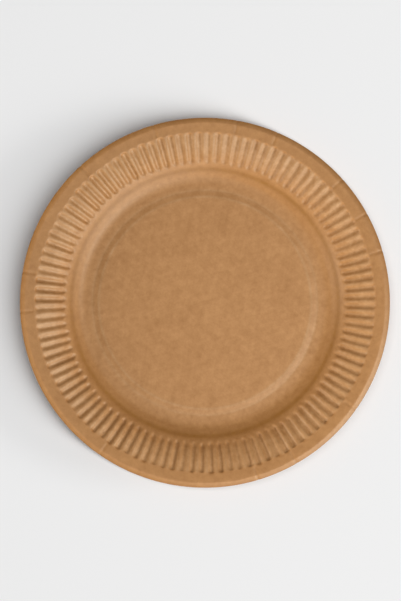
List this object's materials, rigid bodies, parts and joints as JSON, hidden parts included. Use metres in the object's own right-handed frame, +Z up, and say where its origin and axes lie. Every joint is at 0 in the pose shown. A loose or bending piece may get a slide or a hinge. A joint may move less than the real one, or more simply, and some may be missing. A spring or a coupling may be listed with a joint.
{
  "type": "paper plate",
  "caption": "Shallow round plate pressed from kraft board, with a flat centre panel, a foot ring, a sloping wall, a fluted rim and a turned-down lip, for serving food.",
  "frame": {"origin": "on the table, under the middle of the plate", "axes": "+Z is up, along the plate's axis; +X runs out through the middle of a flute"},
  "size_m": [0.23, 0.23, 0.0157],
  "materials": {
    "kraft_board": "uncoated brown kraft board, matt, with a fine fibre mottle"
  },
  "bodies": {
    "root": {"plate": "kraft_board"}
  },
  "joints": []
}
